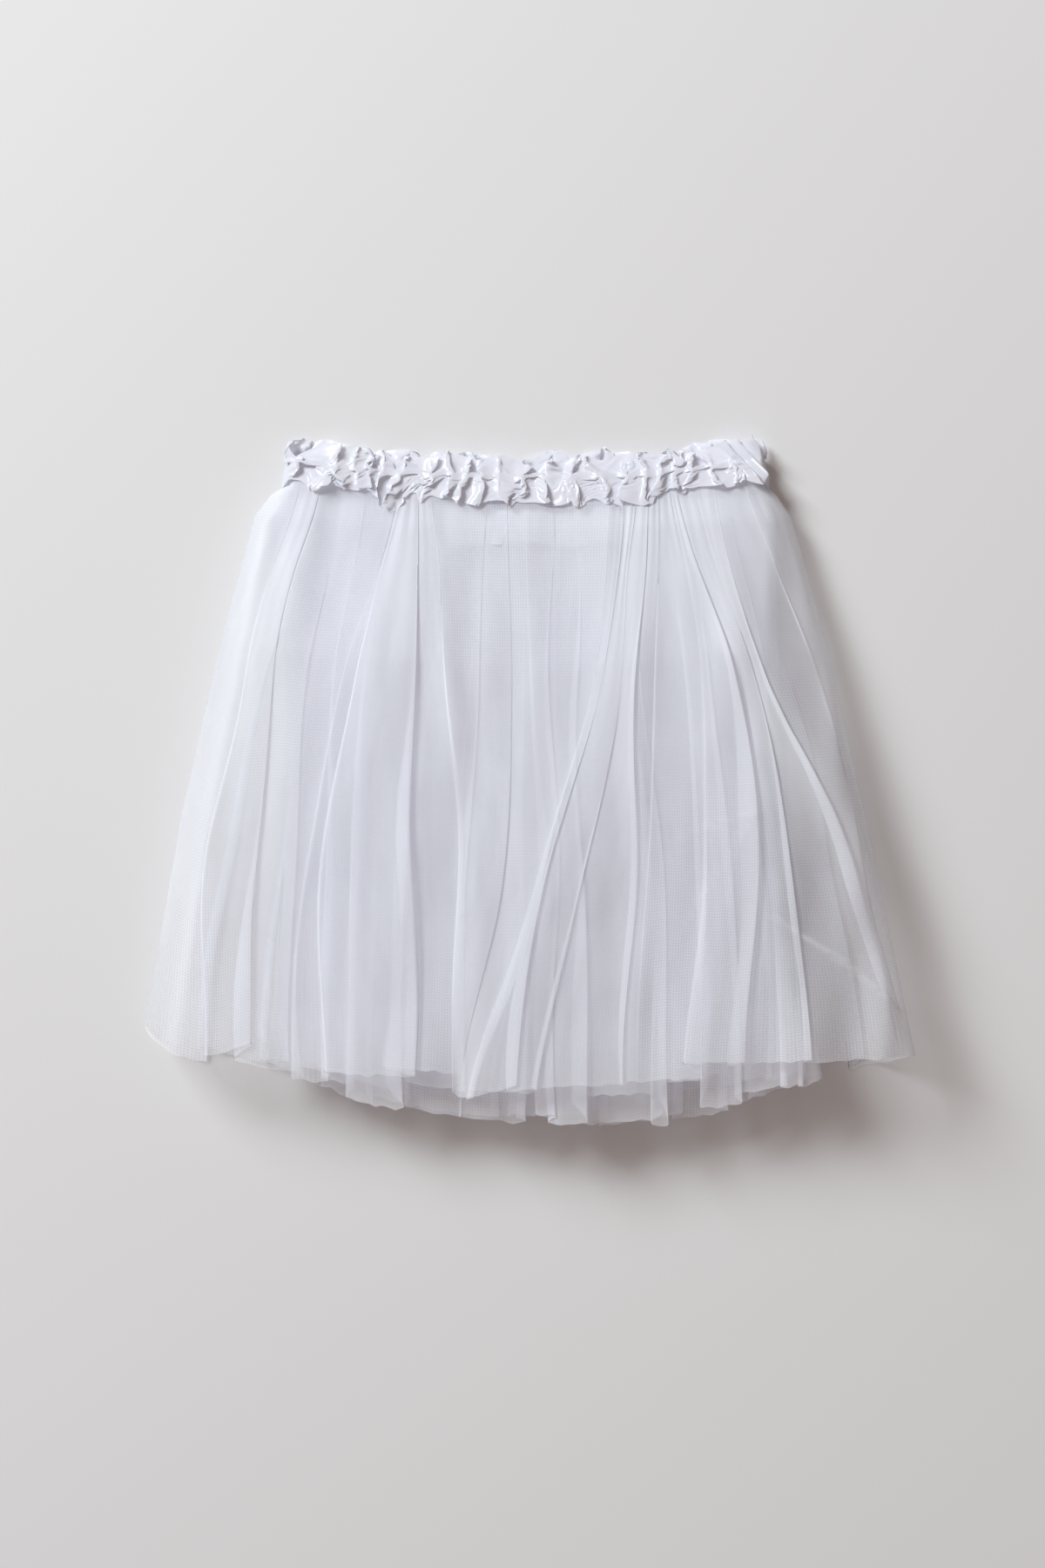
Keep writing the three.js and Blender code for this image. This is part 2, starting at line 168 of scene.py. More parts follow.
# How the pleats differ from plain straight ones.
PLEAT_WANDER = 2.1  # how far a pleat strays from its line
LAP_UNEVENNESS = 0.35
UPPER_LAP = 0.35  # of its lap that a pleat has near the waist, where the gathers take up the rest
HALF_RISE_LAP = 2.5  # the lap at which a fold stands half as high as it can
HALF_CREASE_LAP = 7.0  # the lap at which a fold's crease is half as sharp as it can be
LAP_RISE = 0.42  # of a wall's room that a full lap takes
CREASE_WIDTH = 1.1
UNDER_CREASE = 0.3  # how sharp the crease under a lap is beside the one on top

# How heights differ from the stations', as shares of them.
LEFT_LIFT = 0.13  # the front is higher towards the wearer's left, and lower to the right
MIDDLE_SAG = 0.07  # the front is lower in the middle of the hem
LEFT_SIDE_SAG = 0.42  # the seam on the wearer's left is lower half way down
LEFT_SIDE_LIFT = 0.25  # and higher at the hem

# The finest waves, in millimetres: the gathers below the waistband and the hem's uneven edge.
GATHER_HEIGHT = 0.5
GATHER_WIDTH = 2.2
HEM_WAVER = 0.8

# Soft waves across a net between its folds: the share of the wall's room that one takes, its length,
# how it slants down the cloth, how soon below the waist it is full, 0 for at once, and its own seed.
Sway = namedtuple("Sway", "share length slant onset seed_step")
SWAYS = [
    Sway(0.34, 18, 1.3, 0, 0),
    Sway(0.22, 6, 2.1, 0, 1),
    Sway(0.3, 11, 9.0, 3, 3),
]

# How much of the light the cloth stops.
TOP_THICKNESS = 1.45  # how many flat layers the closely gathered top counts as
MOST_GATHERED = 2.2  # how many times over the form's own gathers count at most
PATCHINESS = 0.16  # how unevenly it is stopped from place to place
CLOUD_CELLS = 64
HEM_LINE = 0.35
HEM_LINE_WIDTH = 1.2
TURNED_THICKNESS = 1.4
MOST_DENSE = 1.8
# The nets' gathered tops are turned down inside: from here to there across, and down to this line.
TURNED_TOP = (-49.0, 68.0, 137.0)

# Creases pressed into the outer net's front that don't run with its pleats: from one point to the
# other, with how sharply each shows.
Crease = namedtuple("Crease", "start end weight")
CREASES = [
    Crease((139.7, -78.9), (159.4, -92.1), 0.5),
    Crease((159.4, -92.1), (181.1, -105.2), 0.7),
    Crease((181.1, -105.2), (214.5, -133.6), 0.9),
    Crease((-148.3, -94.1), (-154.8, -150.3), 0.6),
    Crease((86.0, -32.9), (130.5, -18.7), 0.4),
    Crease((130.5, -18.7), (86.0, -90.0), 0.3),
    Crease((120.0, -28.0), (104.0, -140.0), 0.3),
]

# The ground and the camera: the photograph is taken from straight above.
FLOOR_SIZE = 12.0
CAMERA_X = -4.0
CAMERA_Y = -3.0
CAMERA_HEIGHT = 2.0
FRAME_HEIGHT = 0.911  # metres of surface from the top of the picture to the bottom
FRAME_PLANE = 0.03  # the height at which it is that tall
SENSOR = 36.0


def lerp(a, b, t):
    return a + (b - a) * t


def smoothstep(t):
    t = np.clip(t, 0.0, 1.0)
    return t * t * (3.0 - 2.0 * t)


def waves(x, seed, count=4):
    """A smooth repeatable wandering of x, from about -1 to 1, with a wavelength of about 2 pi."""
    rng = np.random.default_rng(seed)
    total = np.zeros_like(np.asarray(x, dtype=float))
    for _ in range(count):
        total += np.sin(np.asarray(x) * rng.uniform(0.5, 1.9) + rng.uniform(0, 2 * math.pi))
    return total / math.sqrt(count) / 1.3


def clouds(x, y, cell, seed):
    """Smooth repeatable patches from 0 to 1, about one cell across."""
    rng = np.random.default_rng(seed)
    lattice = rng.random((CLOUD_CELLS, CLOUD_CELLS))
    column, row = np.floor(x / cell).astype(int), np.floor(y / cell).astype(int)
    tx, ty = smoothstep(x / cell - column), smoothstep(y / cell - row)
    corner = [[lattice[(row + j) % CLOUD_CELLS, (column + i) % CLOUD_CELLS] for i in (0, 1)] for j in (0, 1)]
    return lerp(lerp(corner[0][0], corner[0][1], tx), lerp(corner[1][0], corner[1][1], tx), ty)


def down_curve(down, values):
    """A smooth curve through four values spaced evenly down the skirt."""
    values = np.asarray(values, dtype=float)
    position = np.clip(down, 0.0, 1.0) * 3.0
    index = min(int(position), 2)
    t = position - index
    before = values[max(index - 1, 0)]
    start, end = values[index], values[index + 1]
    after = values[min(index + 2, 3)]
    slope_in, slope_out = (end - before) / 2, (after - start) / 2
    t2, t3 = t * t, t * t * t
    return (
        (2 * t3 - 3 * t2 + 1) * start
        + (t3 - 2 * t2 + t) * slope_in
        + (-2 * t3 + 3 * t2) * end
        + (t3 - t2) * slope_out
    )


def station_at(down, field):
    """A number of the stations, or both ends of a wall's room, at a share of the way down."""
    places = [s.down for s in STATIONS]
    values = np.array([getattr(s, field) for s in STATIONS], dtype=float)
    if values.ndim == 1:
        return float(np.interp(down, places, values))
    return tuple(float(np.interp(down, places, values[:, i])) for i in range(2))


def net_sides(net, down):
    """Where a net's two sides lie across the skirt at a share of the way down."""
    eased = 1 - (1 - down) ** INSET_EASE
    right = station_at(down, "right") + lerp(net.waist_inset, net.right_inset, eased)
    left = station_at(down, "left") - lerp(net.waist_inset, net.left_inset, eased)
    return right, left


def standing(share, half_width, height):
    """How far a point still stands from the side seam: 1 over the middle, and 0 at the sides."""
    rounding = SIDE_ROUNDNESS * height / half_width
    across = np.clip((np.abs(share) - (1 - rounding)) / rounding, 0.0, 1.0)
    return np.sqrt(1 - across * across)


def to_segment(x, y, start, end):
    """How far points lie from a straight line between two points."""
    along = np.array(end) - np.array(start)
    t = ((x - start[0]) * along[0] + (y - start[1]) * along[1]) / float(along @ along)
    t = np.clip(t, 0.0, 1.0)
    return np.hypot(x - start[0] - t * along[0], y - start[1] - t * along[1])


# ---- Meshes ----
def grid_faces(rows, columns):
    index = np.arange(rows * columns).reshape(rows, columns)
    corners = (index[:-1, :-1], index[1:, :-1], index[1:, 1:], index[:-1, 1:])
    return np.stack([c.ravel() for c in corners], axis=1)


def make_grid(name, x, y, z, uv_u, uv_v, material, **attributes):
    """A smooth open sheet from rows of points in millimetres, with its cloth's own lengths as UVs."""
    rows, columns = x.shape
    points = np.stack([x, y, z], axis=-1).reshape(-1, 3) * MM
    faces = grid_faces(rows, columns)
    mesh = bpy.data.meshes.new(name)
    mesh.from_pydata(points.tolist(), [], faces.tolist())
    mesh.polygons.foreach_set("use_smooth", np.ones(len(faces), dtype=bool))
    uv = np.stack([uv_u + 0 * x, uv_v + 0 * x], axis=-1).reshape(-1, 2) * MM
    mesh.uv_layers.new(name="cloth").data.foreach_set("uv", uv[faces.ravel()].ravel())
    for key, values in attributes.items():
        mesh.attributes.new(key, "FLOAT", "POINT").data.foreach_set("value", values.ravel())
    mesh.materials.append(material)
    piece = bpy.data.objects.new(name, mesh)
    bpy.context.scene.collection.objects.link(piece)
    return piece


# ---- Net ----
def back_pleats(net, seed):
    """Pleats like the front's for a back, which has no table of its own."""
    rng = np.random.default_rng(seed)
    waist_right, waist_left = net_sides(net, 0.0)
    hem_right, hem_left = net_sides(net, 1.0)
    pleats = []
    for i in range(net.back_count):
        share = (i + 1 + rng.uniform(-0.28, 0.28)) / (net.back_count + 1)
        drift = rng.uniform(-0.02, 0.02)
        lap = rng.uniform(5, 13)
        over = 1 if rng.random() < 0.5 else -1
        drop = rng.uniform(-5, 5)
        waist = lerp(waist_right, waist_left, share)
        hem = lerp(hem_right, hem_left, share + drift)
        rise = rng.uniform(0.5, 1.0)
        pleats.append(
            Pleat(
                over,
                waist,
                lerp(waist, hem, 0.45 + drift),
                lerp(waist, hem, 0.75),
                hem,
                lap * 0.4,
                lap * 0.7,
                lap,
                lap,
                rise,
                drop,
                drop + rng.uniform(-2, 2),
            )
        )
    return pleats


def net_row(net, pleats, down, counts, seed):
    """The path of one row of net: places across, levels from -1 to 1, hem drops and crease weights."""
    right, left = net_sides(net, down)
    xs, levels, drops = [right], [0.0], [net.first_drop]
    creases = [0.0]
    end_drop = net.first_end
    for k, pleat in enumerate(pleats):
        place = down_curve(down, (pleat.waist, pleat.upper, pleat.lower, pleat.hem))
        place += PLEAT_WANDER * float(waves(down * 7.0, seed + 100 + k)) * smoothstep(down * 6)
        laps = (pleat.lap_waist, pleat.lap_upper, pleat.lap_lower, pleat.lap_hem)
        lap = max(0.0, down_curve(down, laps))
        lap *= 1 + LAP_UNEVENNESS * float(waves(down * 7.0, seed + 200 + k))
        lap *= lerp(UPPER_LAP, 1.0, smoothstep((down - 0.1) / 0.5))
        rise = pleat.rise * lap / (lap + HALF_RISE_LAP)
        come_and_go = max(0.0, 0.4 + 0.5 * float(waves(down * 8.0, seed + 300 + k)))
        crease = lap / (lap + HALF_CREASE_LAP) * come_and_go
        crease *= lerp(0.05, 1.0, smoothstep((down - 0.15) / 0.6))
        if pleat.over > 0:
            xs += [place, place - lap]
            levels += [rise, -rise]
            creases += [crease, crease * UNDER_CREASE]
        else:
            xs += [place + lap, place]
            levels += [-rise, rise]
            creases += [crease * UNDER_CREASE, crease]
        drops += [end_drop, pleat.drop]
        end_drop = pleat.end_drop
    xs.append(left)
    levels.append(0.0)
    drops.append(end_drop)
    creases.append(0.0)
    path_x, path_level, path_drop, path_crease = [], [], [], []
    for k, count in enumerate(counts):
        t = np.arange(count) / count
        is_panel = k % 2 == 0
        across = smoothstep(t) if is_panel else t
        spread = t
        if k == 0:
            spread = 1 - np.cos(t * math.pi / 2)
        if k == len(counts) - 1:
            spread = np.sin(t * math.pi / 2)
        width = xs[k + 1] - xs[k]
        path_x.append(xs[k] + width * spread)
        path_level.append(lerp(levels[k], levels[k + 1], across))
        path_drop.append(lerp(drops[k], drops[k + 1], t))
        to_start, to_end = np.abs(width) * spread, np.abs(width) * (1 - spread)
        path_crease.append(
            creases[k] * np.exp(-((to_start / CREASE_WIDTH) ** 2))
            + creases[k + 1] * np.exp(-((to_end / CREASE_WIDTH) ** 2))
        )
    rows = [np.concatenate(p) for p in (path_x, path_level, path_drop, path_crease)]
    ends = (xs[-1], levels[-1], drops[-1], creases[-1])
    return [np.append(row, end) for row, end in zip(rows, ends)]


def soften(rows, passes):
    """Round the corners of rows of numbers, with their ends kept."""
    for _ in range(passes):
        rows[:, 1:-1] = (rows[:, :-2] + 2 * rows[:, 1:-1] + rows[:, 2:]) / 4
    return rows


def cloth_lengths(x, z):
    """The cloth's own length across, the same for each row, and how many times it is gathered."""
    steps = np.hypot(np.diff(x, axis=1), np.diff(z, axis=1))
    step = np.percentile(steps, 70, axis=0)
    across = np.concatenate([[0], np.cumsum(step)])
    gathered = np.clip(step / np.maximum(steps, 0.05), 1.0, MOST_GATHERED)
    layers = np.empty_like(x)
    layers[:, 1:-1] = (gathered[:, :-1] + gathered[:, 1:]) / 2
    layers[:, 0], layers[:, -1] = gathered[:, 0], gathered[:, -1]
    return across, soften(layers, 6)


def column_counts(net, pleats):
    """How many columns each panel and each lap has, in turn from side to side."""
    right, left = net_sides(net, 0.6)
    reach = (left - right) / (len(pleats) + 1)
    counts = []
    for k in range(2 * len(pleats) + 1):
        counts.append(max(4, round(reach / PANEL_STEP)) if k % 2 == 0 else LAP_COLUMNS)
    counts[0] += SIDE_COLUMNS
    counts[-1] += SIDE_COLUMNS
    return counts


def row_height(net, half, down, x, level, share, seed):
    """The height of one row, and how far each of its points stands from the side seams."""
    right, left = net_sides(net, down)
    low, high = station_at(down, f"{net.name}_{half}")
    side = station_at(down, "side")
    stands = standing(share, (left - right) / 2, abs((low + high) / 2 - side))
    left_side = side * (1 + LEFT_SIDE_LIFT * down**3 - LEFT_SIDE_SAG * 4 * down * (1 - down))
    side = np.where(share > 0, left_side, side)
    wave = level * LAP_RISE
    for sway in SWAYS:
        eased = smoothstep(down * sway.onset) if sway.onset else 1.0
        wave = wave + sway.share * eased * waves(x / sway.length + down * sway.slant, seed + sway.seed_step)
    wave = np.clip(wave, -1.15, 1.15)
    if half == "back":
        wave = -wave
    body = (low + high) / 2 + wave * (high - low) / 2
    if half == "front":
        body = body * (1 + (LEFT_LIFT * share - MIDDLE_SAG) * down)
    cloth = np.linspace(0, 1, len(x)) * CUT_SPREAD
    gathers = GATHER_HEIGHT * smoothstep(down / 0.05) * math.exp(-down / 0.16)
    body = body + gathers * waves(cloth / GATHER_WIDTH + 3 * down, seed + 5, 7)
    return np.maximum(PRESSED, lerp(side, body, stands)), stands


def net_form(net, half, seed):
    """A net's points, how far down the skirt its rows lie, and how sharply it is creased."""
    pleats = net.front_pleats if half == "front" else back_pleats(net, seed)
    middle_hem = net.front_hem if half == "front" else net.back_hem
    counts = column_counts(net, pleats)
    downs = np.linspace(0, 1, NET_ROWS) ** ROW_EASE
    table = [net_row(net, pleats, down, counts, seed) for down in downs]
    x, level, drop, crease = (np.array([row[i] for row in table]) for i in range(4))
    x, level, drop = (soften(part, 2) for part in (x, level, drop))
    y, z = np.zeros_like(x), np.zeros_like(x)
    for i, down in enumerate(downs):
        right, left = net_sides(net, down)
        share = np.clip((x[i] - (right + left) / 2) / ((left - right) / 2), -1, 1)
        z[i], stands = row_height(net, half, down, x[i], level[i], share, seed)
        side_hem = np.where(share < 0, net.right_hem, net.left_hem)
        hem = lerp(side_hem, middle_hem, 1 - share * share) - drop[i] * stands
        hem += HEM_WAVER * waves(x[i] / 2.7, seed + 2, 6) * stands
        y[i] = lerp(SEAM_Y + SEAM_END_RISE * share * share, hem, down)
    return x, y, z, downs, crease


def turned_top(x, y, seed):
    """1 where the nets' turned-down tops lie under the front, and 0 elsewhere."""
    right_end, left_end, lower_edge = TURNED_TOP
    inside = smoothstep((x - right_end) / 4) * smoothstep((left_end - x) / 4)
    return inside * smoothstep((y - lower_edge + 1.5 * waves(x / 9, seed)) / 2)


def make_net(net, half, seed, material):
    """Half of one net, as a sheet with the attributes that its material reads."""
    x, y, z, downs, crease = net_form(net, half, seed)
    length = SEAM_Y - (net.front_hem if half == "front" else net.back_hem)
    v = length * downs[:, None]
    across, layers = cloth_lengths(x, z)
    u = across[None, :] + 0 * x
    layers = layers * lerp(TOP_THICKNESS, net.hem_thickness, downs)[:, None]
    cloth = np.linspace(0, 1, x.shape[1]) * CUT_SPREAD
    dense = np.clip(crease, 0, 1) + HEM_LINE * np.exp(-(((length - v) / HEM_LINE_WIDTH) ** 2))
    dense += 0.05 * waves(cloth / 3.1, seed + 6, 7)[None, :] * np.exp(-downs[:, None] / 0.3)
    if (net.name, half) == ("middle", "front"):
        layers = layers * (1 + TURNED_THICKNESS * turned_top(x, y, seed + 8))
    if (net.name, half) == ("outer", "front"):
        for line in CREASES:
            near = to_segment(x, y, line.start, line.end)
            z += 0.8 * line.weight * np.exp(-((near / 2.2) ** 2))
            dense += 1.8 * line.weight * np.exp(-((near / 1.5) ** 2))
    patches = 0.6 * clouds(u, v * 0.22, 15.0, seed + 11) + 0.4 * clouds(u, v * 0.35, 6.5, seed + 12)
    clearness = smoothstep(2.6 * clouds(u, v, 75.0, seed + 13) - 0.8)
    attributes = {
        "dense": np.clip(dense, 0, MOST_DENSE),
        "layers": layers,
        "thickness": lerp(1 - PATCHINESS, 1 + PATCHINESS, smoothstep(1.6 * patches - 0.3)),
        "weave": lerp(0.25, 1.1, clearness) / layers**1.5,
    }
    piece = make_grid(f"{net.name}_net_{half}", x, y, z, u, v, material, **attributes)
    return piece, (across[-1] * MM, length * MM)


# ---- Materials ----
class Nodes:
    """A short way to write a material's nodes."""

    def __init__(self, name):
        self.material = bpy.data.materials.new(name)
        self.material.use_nodes = True
        self.tree = self.material.node_tree
        self.tree.nodes.clear()

    def add(self, kind, inputs=None, **settings):
        node = self.tree.nodes.new(kind)
        for key, value in settings.items():
            setattr(node, key, value)
        for key, value in (inputs or {}).items():
            if isinstance(value, bpy.types.NodeSocket):
                self.tree.links.new(value, node.inputs[key])
            else:
                node.inputs[key].default_value = value
        return node

    def math(self, operation, a, b=0.0, c=0.0, clamp=False):
        node = self.add("ShaderNodeMath", {0: a, 1: b, 2: c}, operation=operation)
        node.use_clamp = clamp
        return node.outputs[0]

    def ramp(self, value, low, high, to_low, to_high):
        ends = {"From Min": low, "From Max": high, "To Min": to_low, "To Max": to_high}
        return self.add("ShaderNodeMapRange", {"Value": value, **ends}).outputs[0]

    def attribute(self, name):
        return self.add("ShaderNodeAttribute", attribute_name=name).outputs["Fac"]

    def mix(self, share, first, second):
        return self.add("ShaderNodeMixShader", {0: share, 1: first, 2: second}).outputs[0]

    def output(self, shader):
        self.add("ShaderNodeOutputMaterial", {"Surface": shader})
        return self.material


NET_PITCH = 1.45 * MM  # from one rib of the net to the next
NET_COURSE = 1.7 * MM
THREAD_CONTRAST = 0.15  # how much more of the light the threads stop, and how much less the holes
CREASE_COVER = 0.13  # of the light that a full crease or the hem's edge stops besides
NET_TRANSLUCENCY = 0.37  # of the light that lands on the threads and comes out on the other side
NET_PULL = 1.0  # how strongly its shading is pulled away from the cloth's slope
OUTER_COLOUR = (0.943, 0.956, 1.0)
OUTER_COVER = 0.35
INNER_COLOUR = (0.947, 0.953, 1.0)
INNER_COVER = 0.34


def thread_normal(n, pull):
    """Round threads catch the light much the same however the cloth slopes, so each face's normal is
    pulled towards straight up, or straight down for a face that looks down: half way where pull is 1."""
    normal = n.add("ShaderNodeNewGeometry").outputs["Normal"]
    slope = n.add("ShaderNodeSeparateXYZ", {0: normal}).outputs["Z"]
    upright = n.add("ShaderNodeCombineXYZ", {"Z": n.math("MULTIPLY", n.math("SIGN", slope), pull)}).outputs[0]
    total = n.add("ShaderNodeVectorMath", {0: normal, 1: upright}, operation="ADD").outputs[0]
    return n.add("ShaderNodeVectorMath", {0: total}, operation="NORMALIZE").outputs[0]


def net_material(name, colour, cover):
    """Net: ribs down the cloth, finer threads across and holes between them. cover is the share of
    light that one flat layer stops, and it grows where the cloth is gathered, creased or hemmed."""
    n = Nodes(name)
    uv = n.add("ShaderNodeUVMap", uv_map="cloth").outputs["UV"]
    split = n.add("ShaderNodeSeparateXYZ", {0: uv})
    ribs = n.math("PINGPONG", n.math("DIVIDE", split.outputs["X"], NET_PITCH), 0.5)
    courses = n.math("PINGPONG", n.math("DIVIDE", split.outputs["Y"], NET_COURSE), 0.5)
    rib = n.ramp(ribs, 0.1, 0.32, 1.0, 0.0)
    course = n.ramp(courses, 0.08, 0.3, 0.9, 0.0)
    threads = n.math("MAXIMUM", rib, course)
    layers = n.attribute("layers")
    contrast = n.ramp(threads, 0.0, 1.0, -THREAD_CONTRAST, THREAD_CONTRAST)
    weave = n.math("MULTIPLY_ADD", contrast, n.attribute("weave"), 1.0)
    veil = n.math("MULTIPLY", weave, n.attribute("thickness"))
    holes = n.math("SUBTRACT", 1.0, n.math("MULTIPLY", veil, cover))
    stopped = n.math("SUBTRACT", 1.0, n.math("POWER", holes, layers))
    coverage = n.math("MULTIPLY_ADD", n.attribute("dense"), CREASE_COVER, stopped, clamp=True)
    normal = thread_normal(n, NET_PULL)
    cloth = n.add("ShaderNodeBsdfDiffuse", {"Color": (*colour, 1), "Normal": normal})
    through = n.add("ShaderNodeBsdfTranslucent", {"Color": (*colour, 1), "Normal": normal})
    lit = n.mix(NET_TRANSLUCENCY, cloth.outputs[0], through.outputs[0])
    clear = n.add("ShaderNodeBsdfTransparent")
    return n.output(n.mix(coverage, clear.outputs[0], lit))


SATIN_COLOUR = (0.92, 0.925, 0.985)
SATIN_PULL = 2.0
SATIN_TRANSLUCENCY = 0.35


def satin_material():
    """Satin: a soft pale body under a sharper shine that follows each fold."""
    n = Nodes("satin")
    uv = n.add("ShaderNodeUVMap", uv_map="cloth").outputs["UV"]
    weave = n.add("ShaderNodeTexNoise", {"Vector": uv, "Scale": 900.0, "Detail": 2.0}).outputs["Fac"]
    bump = n.add("ShaderNodeBump", {"Height": weave, "Strength": 0.05, "Distance": 0.0004})
    shine = n.ramp(weave, 0.0, 1.0, 0.34, 0.46)
    soft = thread_normal(n, SATIN_PULL)
    cloth = n.add(
        "ShaderNodeBsdfPrincipled",
        {
            "Base Color": (*SATIN_COLOUR, 1),
            "Roughness": shine,
            "Specular IOR Level": 0.2,
            "Coat Weight": 0.85,
            "Coat Roughness": 0.22,
            "Coat Normal": bump.outputs[0],
            "Normal": soft,
        },
    )
    through = n.add("ShaderNodeBsdfTranslucent", {"Color": (*SATIN_COLOUR, 1), "Normal": soft})
    return n.output(n.mix(SATIN_TRANSLUCENCY, cloth.outputs[0], through.outputs[0]))


FLOOR_COLOURS = ((0.70, 0.692, 0.690, 1), (0.71, 0.70, 0.698, 1))


def floor_material():
    """A matt pale surface, very slightly uneven in tone."""
    n = Nodes("pale_surface")
    noise = n.add("ShaderNodeTexNoise", {"Scale": 2.0, "Detail": 2.0}).outputs["Fac"]
    tone = n.add("ShaderNodeMixRGB", {0: noise, 1: FLOOR_COLOURS[0], 2: FLOOR_COLOURS[1]}).outputs[0]
    matt = {"Base Color": tone, "Roughness": 0.9, "Specular IOR Level": 0.1}
    return n.output(n.add("ShaderNodeBsdfPrincipled", matt).outputs[0])


# ---- Waistband ----
# From its lower frill to its upper one: where each row lies in the middle, how far out its ends reach
# and how high they lie, the lowest height of the front half, and the back half's room.
BandRow = namedtuple("BandRow", "y half_width side front_low back_low back_high")
BAND_CENTRE_X = -2.0
BAND_END_RISE = 10.5
BAND_BACK_RAISE = 3.0
BAND_ROWS = [
    BandRow(158, 143.4, 9.2, 16.6, 0.6, 2.6),
    BandRow(168, 142.6, 8.4, 14.6, 0.6, 3.4),
    BandRow(179, 140.0, 6.6, 9.5, 0.6, 5.6),
    BandRow(189, 135.5, 6.7, 8.2, 0.6, 7.4),
]
ELASTIC_Y = 178.0

# The satin strip is simulated at ten times its size, where Blender's cloth works best. Its flat cut is
# drawn together along the elastic, and it buckles into ruffles between there and its two edges.
SIM_SCALE = 10.0
SIM_FRAMES = 24
STRIP_COLUMNS = 300
STRIP_ROWS = 34
STRIP_WIDTH = 440.0
STRIP_DEPTH = 42.0
STRIP_PULLED_WIDTH = 284.0
STRIP_PULLED_DEPTH = 36.0
ELASTIC_SHARE = 0.62  # how far up the strip the elastic runs
RUFFLES = 23
RUFFLE_HEIGHT = 5.8
RUFFLE_UNEVENNESS = 0.45
RUFFLE_LEAN = 3.2
EDGE_STEP = 1.9  # how far out of step with each other the ruffles of the two edges are
END_LEAN = 5.5  # of the ruffles at the wearer's left end
END_RUFFLES = 0.42  # how high they are beside the others
RUFFLE_SWING = 1.8  # how far a ruffle's crest leans over sideways
PINCH = 0.45  # of a ruffle's height that is left along the elastic
PINCH_REACH = 0.16  # how far from the elastic, up or down the strip, a ruffle is full
EDGE_WAVER = 1.3  # how far the two edges stray from straight lines
EDGE_WAVER_ABOVE = 1.6  # and how much further at the upper edge
EDGE_WAVER_BELOW = 8.0  # and at the lower one
RIBS_FROM = 0.84  # how far to the wearer's left the ruffles turn into long leaning ribs
RIB_SPACING = 0.05  # of the band's half width
RIB_LEAN = 0.11
RIB_BASE = 6.0
RIB_HEIGHT = 18.0
RIB_WANDER = 0.4  # of the way from one rib to the next
RIB_UNEVENNESS = 0.35
STRIP_SEED = 3
LEFT_FRILL = 0.76  # how far down the lower frill reaches at the wearer's left end, beside the middle
RIGHT_FRILL = 0.86  # and at the right end
FRONT_RELIEF = 0.36  # of the ruffles' simulated height
BACK_ROOM = 9.0  # the simulated height that the back half's own room stands for
PRESSED_SHARE = 0.9  # of the simulated strip's cut, both ways, that goes into each pressed half

SATIN_CLOTH = {
    "quality": 5,
    "mass": 0.15,
    "tension_stiffness": 18,
    "compression_stiffness": 18,
    "shear_stiffness": 6,
    "bending_stiffness": 0.2,
    "tension_damping": 6,
    "compression_damping": 6,
    "shear_damping": 6,
    "bending_damping": 0.3,
    "air_damping": 4,
    "pin_stiffness": 1.0,
}
SATIN_TOUCH = {
    "collision_quality": 2,
    "distance_min": 0.006,
    "use_self_collision": True,
    "self_distance_min": 0.006,
    "self_friction": 8,
}


def strip_start(seed):
    """The strip as it is before it buckles: unevenly waved, pinched along the elastic, with the ruffles
    of its two edges out of step and the ones at the wearer's left end leaning."""
    s = np.linspace(-1, 1, STRIP_COLUMNS)[None, :]
    up = np.linspace(0, 1, STRIP_ROWS)[:, None] - ELASTIC_SHARE
    away = smoothstep(np.abs(up) / PINCH_REACH)
    ribbed = smoothstep((s - RIBS_FROM) / 0.1)
    loose = 1 - ribbed
    lean = RUFFLE_LEAN * waves(s * 11, seed + 2) * loose - END_LEAN * ribbed
    above, below = waves(s * 13, seed + 5), waves(s * 13, seed + 6)
    step = np.where(up > 0, EDGE_STEP * above, EDGE_STEP * below) * loose
    closer = 0.7 * np.maximum(s - RIBS_FROM, 0)
    place = s + closer + 0.05 * waves(s * 9, seed) * loose
    phase = place * math.pi * RUFFLES - lean * up * 2.6 + step * away
    pinch = lerp(PINCH + (1 - PINCH) * away, 1.0, ribbed)
    uneven_size = 1 + RUFFLE_UNEVENNESS * waves(s * 24 + 3 * up, seed + 1)
    size = RUFFLE_HEIGHT * lerp(uneven_size, END_RUFFLES, ribbed)
    z = 10.0 + size * pinch * np.sin(phase)
    x = s * STRIP_PULLED_WIDTH / 2 + RUFFLE_SWING * pinch * np.cos(phase + 0.6)
    uneven = np.where(up > 0, EDGE_WAVER_ABOVE, EDGE_WAVER_BELOW) * waves(s * 26, seed + 4) * np.abs(up)
    uneven = uneven + EDGE_WAVER * waves(s * 31, seed + 7)
    y = up * STRIP_PULLED_DEPTH + uneven * loose
    return np.stack([x, y + 0 * s, z], axis=-1)


def strip_flat():
    s = np.linspace(-1, 1, STRIP_COLUMNS)[None, :]
    up = np.linspace(0, 1, STRIP_ROWS)[:, None] - ELASTIC_SHARE
    return np.stack([s * STRIP_WIDTH / 2 + 0 * up, up * STRIP_DEPTH + 0 * s, 0 * s * up], axis=-1)


